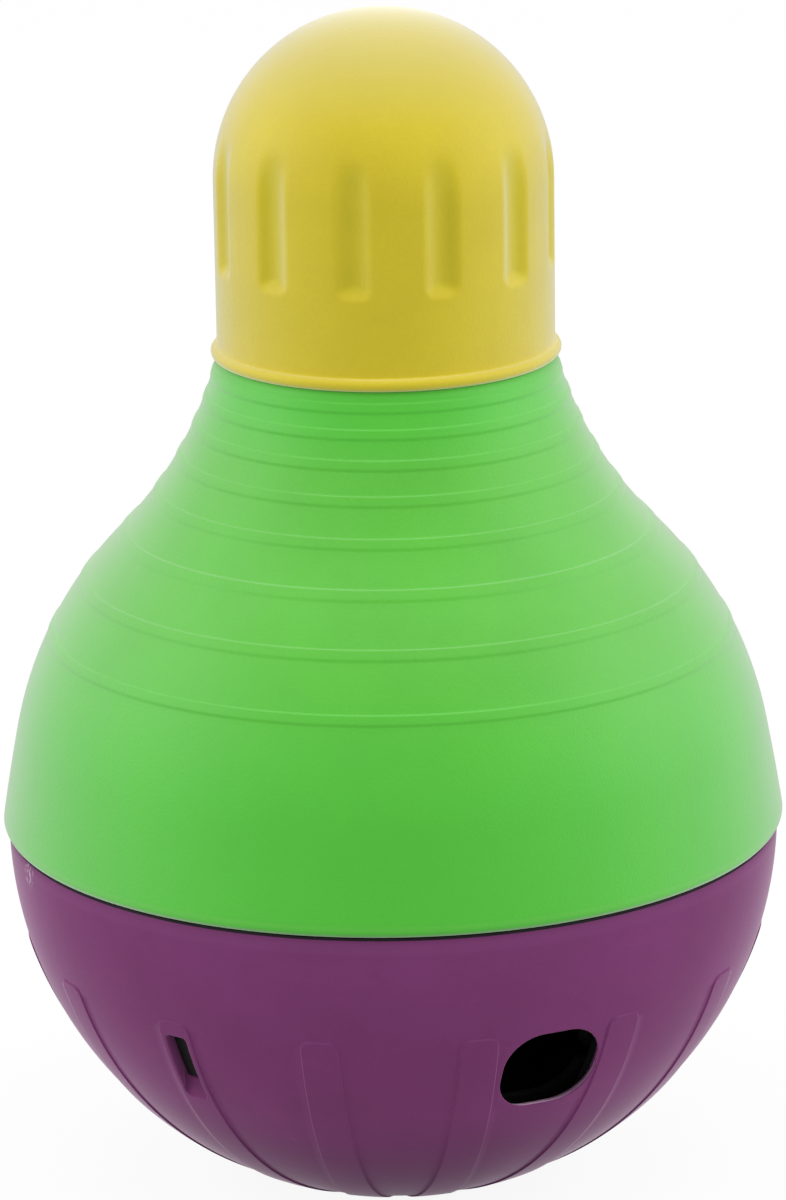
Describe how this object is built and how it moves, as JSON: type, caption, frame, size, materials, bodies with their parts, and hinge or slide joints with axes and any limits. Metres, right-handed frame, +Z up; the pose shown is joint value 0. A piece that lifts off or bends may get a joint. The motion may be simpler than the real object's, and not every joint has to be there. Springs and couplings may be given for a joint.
{
  "type": "wobble treat dispenser",
  "caption": "Weighted round-bottomed treat toy: ribbed bowl with a side outlet and shutter, a bell-shaped chamber that screws on above a gated deck, and a soft grip cap on its neck.",
  "frame": {"origin": "centre of the flat foot under the bowl, on the floor", "axes": "+Z up through the neck, -Y out through the outlet, +X to the right of the outlet seen from the front"},
  "size_m": [0.1784, 0.1784, 0.2715],
  "materials": {
    "cap_rubber": "matt yellow grip rubber",
    "shell_green": "fine textured lime green plastic",
    "bowl_purple": "satin purple plastic",
    "liner_dark": "dark grey moulded plastic",
    "shutter_plastic": "dark grey moulded plastic",
    "gate_plastic": "yellow moulded plastic",
    "seal_black": "black rubber",
    "pad_foam": "closed cell foam",
    "ballast_iron": "as cast",
    "screw_steel": "zinc plated"
  },
  "bodies": {
    "bowl": {"lower_bowl": "bowl_purple", "ballast_weight": "ballast_iron", "ballast_pad": "pad_foam", "ballast_cover": "liner_dark", "ballast_seal": "seal_black", "inner_cup": "liner_dark", "cup_screws": "screw_steel", "divider_deck": "liner_dark", "deck_screws": "screw_steel", "gate_bolt": "screw_steel", "gate_washer": "screw_steel", "gate_nut": "screw_steel"},
    "seal": {"seam_seal": "seal_black"},
    "shell": {"upper_shell": "shell_green", "top_cap": "cap_rubber"},
    "shutter": {"outlet_shutter": "shutter_plastic", "shutter_tab": "shutter_plastic", "tab_screw": "screw_steel"},
    "gate": {"transfer_gate": "gate_plastic"}
  },
  "joints": [
    {"name": "shell_lift", "type": "slide", "parent": "bowl", "child": "seal", "axis": [0, 0, 1], "range_m": [0, 0.0061]},
    {"name": "shell_turn", "type": "hinge", "parent": "seal", "child": "shell", "pos_m": [0, 0, 0.0857], "axis": [0, 0, 1], "range_deg": [0, 90]},
    {"name": "shutter_turn", "type": "hinge", "parent": "bowl", "child": "shutter", "pos_m": [0, 0, 0.0498], "axis": [0, 0, 1], "range_deg": [-22, 0]},
    {"name": "gate_turn", "type": "hinge", "parent": "bowl", "child": "gate", "pos_m": [0, 0, 0.081], "axis": [0, 0, 1], "range_deg": [-80, 0]}
  ],
  "couplings": [
    {"joint": "shell_lift", "follows": "shell_turn", "m_per_rad": 0.0038197}
  ]
}
